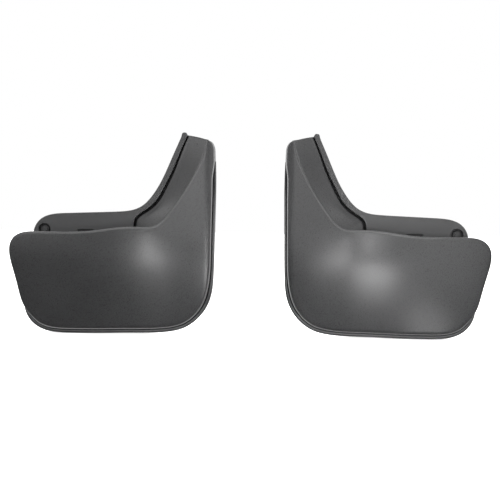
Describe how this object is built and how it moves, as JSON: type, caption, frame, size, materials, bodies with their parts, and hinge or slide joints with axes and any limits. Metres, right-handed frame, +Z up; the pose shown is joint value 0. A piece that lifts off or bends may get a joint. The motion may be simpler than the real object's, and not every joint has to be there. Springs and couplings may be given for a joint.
{
  "type": "mud flap",
  "caption": "Handed pair of moulded splash guards for car wheel arches, each a curved face shell on a flanged back panel with push rivets and a spring nut.",
  "frame": {"origin": "centre of the bottom of the pair's bounding box, on the plane of symmetry between the two flaps", "axes": "+X to the right seen from the faced side, across the pair; +Y backwards, from the faces to the flanges; +Z up, towards the tips of the arms"},
  "size_m": [0.6086, 0.0468, 0.258],
  "materials": {
    "black_moulding": "fine-grained matte black polypropylene",
    "black_moulding_rear": "matte black polypropylene, a little duller than the face",
    "rivet_plastic": "smooth black nylon",
    "zinc_steel": "bright zinc plate",
    "black_steel": "black-coated screw steel"
  },
  "bodies": {
    "left_flap": {"left_front_shell": "black_moulding", "left_back_panel": "black_moulding_rear", "left_end_rivet_body": "rivet_plastic", "left_mid_rivet_body": "rivet_plastic", "left_spring_nut": "zinc_steel", "left_flange_washer": "zinc_steel", "left_flange_screw": "zinc_steel", "left_seam_screws": "black_steel"},
    "left_end_pin": {"left_end_rivet_pin": "rivet_plastic"},
    "left_mid_pin": {"left_mid_rivet_pin": "rivet_plastic"},
    "right_flap": {"right_front_shell": "black_moulding", "right_back_panel": "black_moulding_rear", "right_end_rivet_body": "rivet_plastic", "right_mid_rivet_body": "rivet_plastic", "right_spring_nut": "zinc_steel", "right_flange_washer": "zinc_steel", "right_flange_screw": "zinc_steel", "right_seam_screws": "black_steel"},
    "right_end_pin": {"right_end_rivet_pin": "rivet_plastic"},
    "right_mid_pin": {"right_mid_rivet_pin": "rivet_plastic"}
  },
  "joints": [
    {"name": "pair_spacing", "type": "slide", "parent": "left_flap", "child": "right_flap", "axis": [1, 0, 0], "range_m": [0, 0.3]},
    {"name": "left_end_pin_pull", "type": "slide", "parent": "left_flap", "child": "left_end_pin", "axis": [0, -1, 0], "range_m": [0, 0.006]},
    {"name": "left_mid_pin_pull", "type": "slide", "parent": "left_flap", "child": "left_mid_pin", "axis": [0, 1, 0], "range_m": [0, 0.006]},
    {"name": "right_end_pin_pull", "type": "slide", "parent": "right_flap", "child": "right_end_pin", "axis": [0, -1, 0], "range_m": [0, 0.006]},
    {"name": "right_mid_pin_pull", "type": "slide", "parent": "right_flap", "child": "right_mid_pin", "axis": [0, 1, 0], "range_m": [0, 0.006]}
  ]
}
